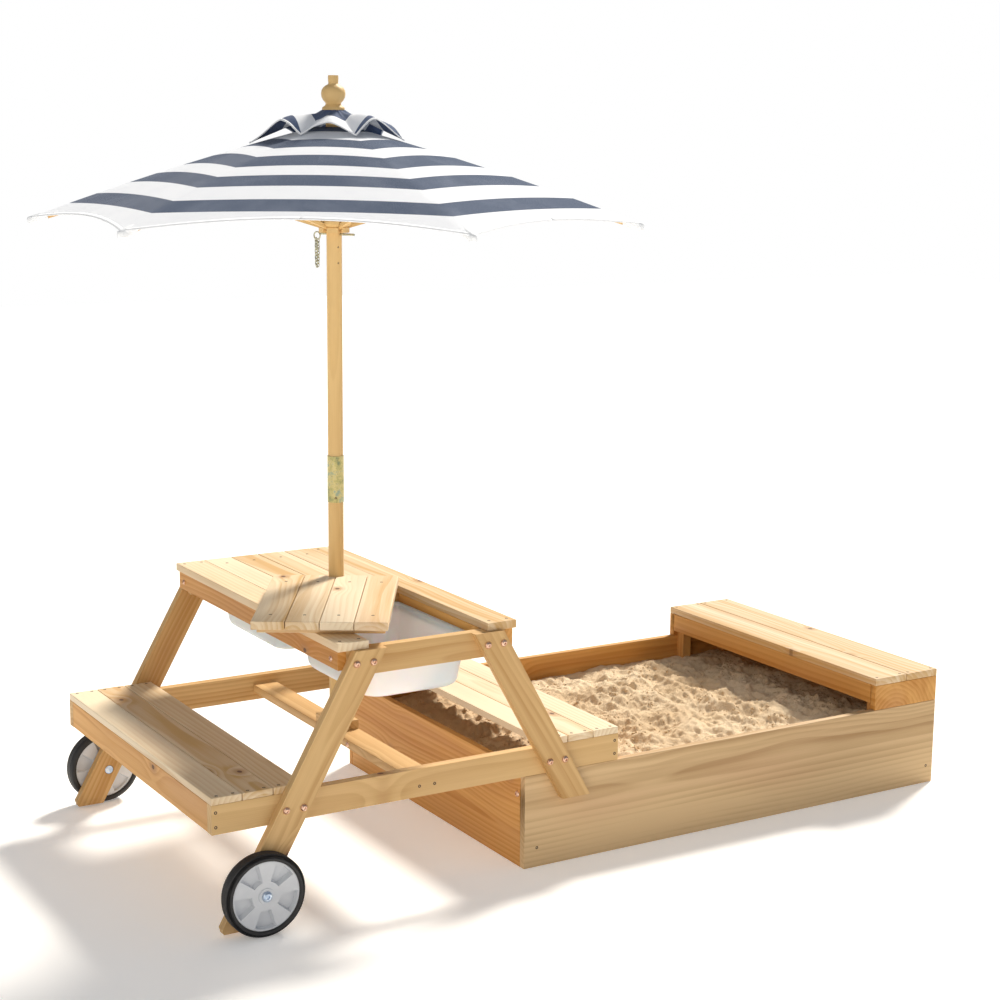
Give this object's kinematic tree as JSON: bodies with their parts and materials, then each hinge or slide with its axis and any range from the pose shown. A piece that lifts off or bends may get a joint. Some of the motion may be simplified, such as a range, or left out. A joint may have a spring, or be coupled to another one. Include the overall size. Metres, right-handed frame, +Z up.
{
  "type": "sand and water table",
  "caption": "Wooden sandbox with a picnic table on wheels that rolls along it, lift-off lids over water tubs, bench seats and a folding striped umbrella.",
  "frame": {"origin": "on the ground under the centre of the sandbox", "axes": "+X along the sandbox towards its seat, -Y towards the front, +Z up"},
  "size_m": [2.0787, 1.3548, 1.734],
  "materials": {
    "fir": "planed and left natural",
    "sand": "loose play sand",
    "zinc": "zinc plated",
    "yellow_zinc": "yellow zinc plated",
    "tub_plastic": "translucent white",
    "tyre": "hard black plastic tread",
    "hub": "light grey moulding",
    "striped_cloth": "woven navy and white stripes"
  },
  "bodies": {
    "sandbox": {"front_side_boards": "fir", "back_side_boards": "fir", "sandbox_end_boards": "fir", "corner_posts": "fir", "seat_supports": "fir", "sandbox_seat_planks": "fir", "sand": "sand", "sandbox_bolts": "zinc"},
    "table": {"front_left_leg": "fir", "front_right_leg": "fir", "back_left_leg": "fir", "back_right_leg": "fir", "top_rails": "fir", "bench_rails": "fir", "table_aprons": "fir", "tub_rails": "fir", "centre_crossbar": "fir", "tub_ledges": "fir", "top_edge_boards": "fir", "left_bench_planks": "fir", "right_bench_planks": "fir", "bench_fascias": "fir", "mast_beam": "fir", "mast_block": "fir", "frame_bolts": "zinc", "axle_bolts": "zinc", "front_tub": "tub_plastic", "back_tub": "tub_plastic"},
    "front_wheel": {"front_tyre": "tyre", "front_wheel_hub": "hub"},
    "back_wheel": {"back_tyre": "tyre", "back_wheel_hub": "hub"},
    "far_lid_body": {"far_lid": "fir"},
    "near_lid_body": {"near_lid": "fir"},
    "lower_pole": {"lower_mast": "fir", "mast_ferrule": "yellow_zinc"},
    "umbrella_pole": {"upper_mast": "fir", "top_hub": "fir", "finial": "fir"},
    "runner_body": {"runner": "fir"},
    "pin_body": {"locking_pin": "zinc"},
    "rib_1_body": {"rib_1": "fir", "canopy_panel_1": "striped_cloth"},
    "strut_1_body": {"strut_1": "fir"},
    "rib_2_body": {"rib_2": "fir", "canopy_panel_2": "striped_cloth"},
    "strut_2_body": {"strut_2": "fir"},
    "rib_3_body": {"rib_3": "fir", "canopy_panel_3": "striped_cloth"},
    "strut_3_body": {"strut_3": "fir"},
    "rib_4_body": {"rib_4": "fir", "canopy_panel_4": "striped_cloth"},
    "strut_4_body": {"strut_4": "fir"},
    "rib_5_body": {"rib_5": "fir", "canopy_panel_5": "striped_cloth"},
    "strut_5_body": {"strut_5": "fir"},
    "rib_6_body": {"rib_6": "fir", "canopy_panel_6": "striped_cloth"},
    "strut_6_body": {"strut_6": "fir"}
  },
  "joints": [
    {"name": "table_roll", "type": "slide", "parent": "sandbox", "child": "table", "axis": [1, 0, 0], "range_m": [-0.205, 0.715]},
    {"name": "front_wheel_spin", "type": "hinge", "parent": "table", "child": "front_wheel", "pos_m": [-1.261, -0.4716, 0.0885], "axis": [0, 1, 0], "range_deg": [-140, 480]},
    {"name": "back_wheel_spin", "type": "hinge", "parent": "table", "child": "back_wheel", "pos_m": [-1.261, 0.4716, 0.0885], "axis": [0, 1, 0], "range_deg": [-140, 480]},
    {"name": "far_lid_lift", "type": "slide", "parent": "table", "child": "far_lid_body", "axis": [0, 0, 1], "range_m": [0, 0.15]},
    {"name": "near_lid_swivel", "type": "hinge", "parent": "far_lid_body", "child": "near_lid_body", "pos_m": [-0.859, 0, 0.58], "axis": [0, 0, 1], "range_deg": [-40, 30]},
    {"name": "pole_lift", "type": "slide", "parent": "table", "child": "lower_pole", "axis": [0, 0, 1], "range_m": [0, 0.36]},
    {"name": "umbrella_turn", "type": "hinge", "parent": "lower_pole", "child": "umbrella_pole", "pos_m": [-0.859, 0, 0.84], "axis": [0, 0, 1], "continuous": true},
    {"name": "rib_1_fold", "type": "hinge", "parent": "umbrella_pole", "child": "rib_1_body", "pos_m": [-0.83399, 0.01258, 1.606], "axis": [-0.4493, 0.8934, 0], "range_deg": [0, 66], "deforming": ["canopy_panel_1"]},
    {"name": "strut_1_fold", "type": "hinge", "parent": "rib_1_body", "child": "strut_1_body", "pos_m": [-0.53564, 0.16263, 1.506], "axis": [-0.4493, 0.8934, 0], "range_deg": [-132.1, 0]},
    {"name": "rib_2_fold", "type": "hinge", "parent": "umbrella_pole", "child": "rib_2_body", "pos_m": [-0.85739, 0.02795, 1.606], "axis": [-0.9983, 0.0576, 0], "range_deg": [0, 66], "deforming": ["canopy_panel_2"]},
    {"name": "strut_2_fold", "type": "hinge", "parent": "rib_2_body", "child": "strut_2_body", "pos_m": [-0.83816, 0.36135, 1.506], "axis": [-0.9983, 0.0576, 0], "range_deg": [-132.1, 0]},
    {"name": "rib_3_fold", "type": "hinge", "parent": "umbrella_pole", "child": "rib_3_body", "pos_m": [-0.8824, 0.01537, 1.606], "axis": [-0.549, -0.8358, 0], "range_deg": [0, 66], "deforming": ["canopy_panel_3"]},
    {"name": "strut_3_fold", "type": "hinge", "parent": "rib_3_body", "child": "strut_3_body", "pos_m": [-1.16152, 0.19872, 1.506], "axis": [-0.549, -0.8358, 0], "range_deg": [-132.1, 0]},
    {"name": "rib_4_fold", "type": "hinge", "parent": "umbrella_pole", "child": "rib_4_body", "pos_m": [-0.88401, -0.01258, 1.606], "axis": [0.4493, -0.8934, 0], "range_deg": [0, 66], "deforming": ["canopy_panel_4"]},
    {"name": "strut_4_fold", "type": "hinge", "parent": "rib_4_body", "child": "strut_4_body", "pos_m": [-1.18236, -0.16263, 1.506], "axis": [0.4493, -0.8934, 0], "range_deg": [-132.1, 0]},
    {"name": "rib_5_fold", "type": "hinge", "parent": "umbrella_pole", "child": "rib_5_body", "pos_m": [-0.86061, -0.02795, 1.606], "axis": [0.9983, -0.0576, 0], "range_deg": [0, 66], "deforming": ["canopy_panel_5"]},
    {"name": "strut_5_fold", "type": "hinge", "parent": "rib_5_body", "child": "strut_5_body", "pos_m": [-0.87984, -0.36135, 1.506], "axis": [0.9983, -0.0576, 0], "range_deg": [-132.1, 0]},
    {"name": "rib_6_fold", "type": "hinge", "parent": "umbrella_pole", "child": "rib_6_body", "pos_m": [-0.8356, -0.01537, 1.606], "axis": [0.549, 0.8358, 0], "range_deg": [0, 66], "deforming": ["canopy_panel_6"]},
    {"name": "strut_6_fold", "type": "hinge", "parent": "rib_6_body", "child": "strut_6_body", "pos_m": [-0.55648, -0.19872, 1.506], "axis": [0.549, 0.8358, 0], "range_deg": [-132.1, 0]},
    {"name": "runner_slide", "type": "slide", "parent": "umbrella_pole", "child": "runner_body", "axis": [0, 0, 1], "range_m": [-0.492, 0]},
    {"name": "pin_pull", "type": "slide", "parent": "umbrella_pole", "child": "pin_body", "axis": [-0.4493, 0.8934, 0], "range_m": [0, 0.08]}
  ],
  "couplings": [
    {"joint": "strut_1_fold", "follows": "rib_1_fold", "ratio": -2},
    {"joint": "rib_2_fold", "follows": "rib_1_fold", "ratio": 1},
    {"joint": "strut_2_fold", "follows": "rib_1_fold", "ratio": -2},
    {"joint": "rib_3_fold", "follows": "rib_1_fold", "ratio": 1},
    {"joint": "strut_3_fold", "follows": "rib_1_fold", "ratio": -2},
    {"joint": "rib_4_fold", "follows": "rib_1_fold", "ratio": 1},
    {"joint": "strut_4_fold", "follows": "rib_1_fold", "ratio": -2},
    {"joint": "rib_5_fold", "follows": "rib_1_fold", "ratio": 1},
    {"joint": "strut_5_fold", "follows": "rib_1_fold", "ratio": -2},
    {"joint": "rib_6_fold", "follows": "rib_1_fold", "ratio": 1},
    {"joint": "strut_6_fold", "follows": "rib_1_fold", "ratio": -2},
    {"joint": "runner_slide", "follows": "rib_1_fold", "m_per_rad": -0.42669},
    {"joint": "front_wheel_spin", "follows": "table_roll", "rad_per_m": 11.299},
    {"joint": "back_wheel_spin", "follows": "table_roll", "rad_per_m": 11.299}
  ]
}
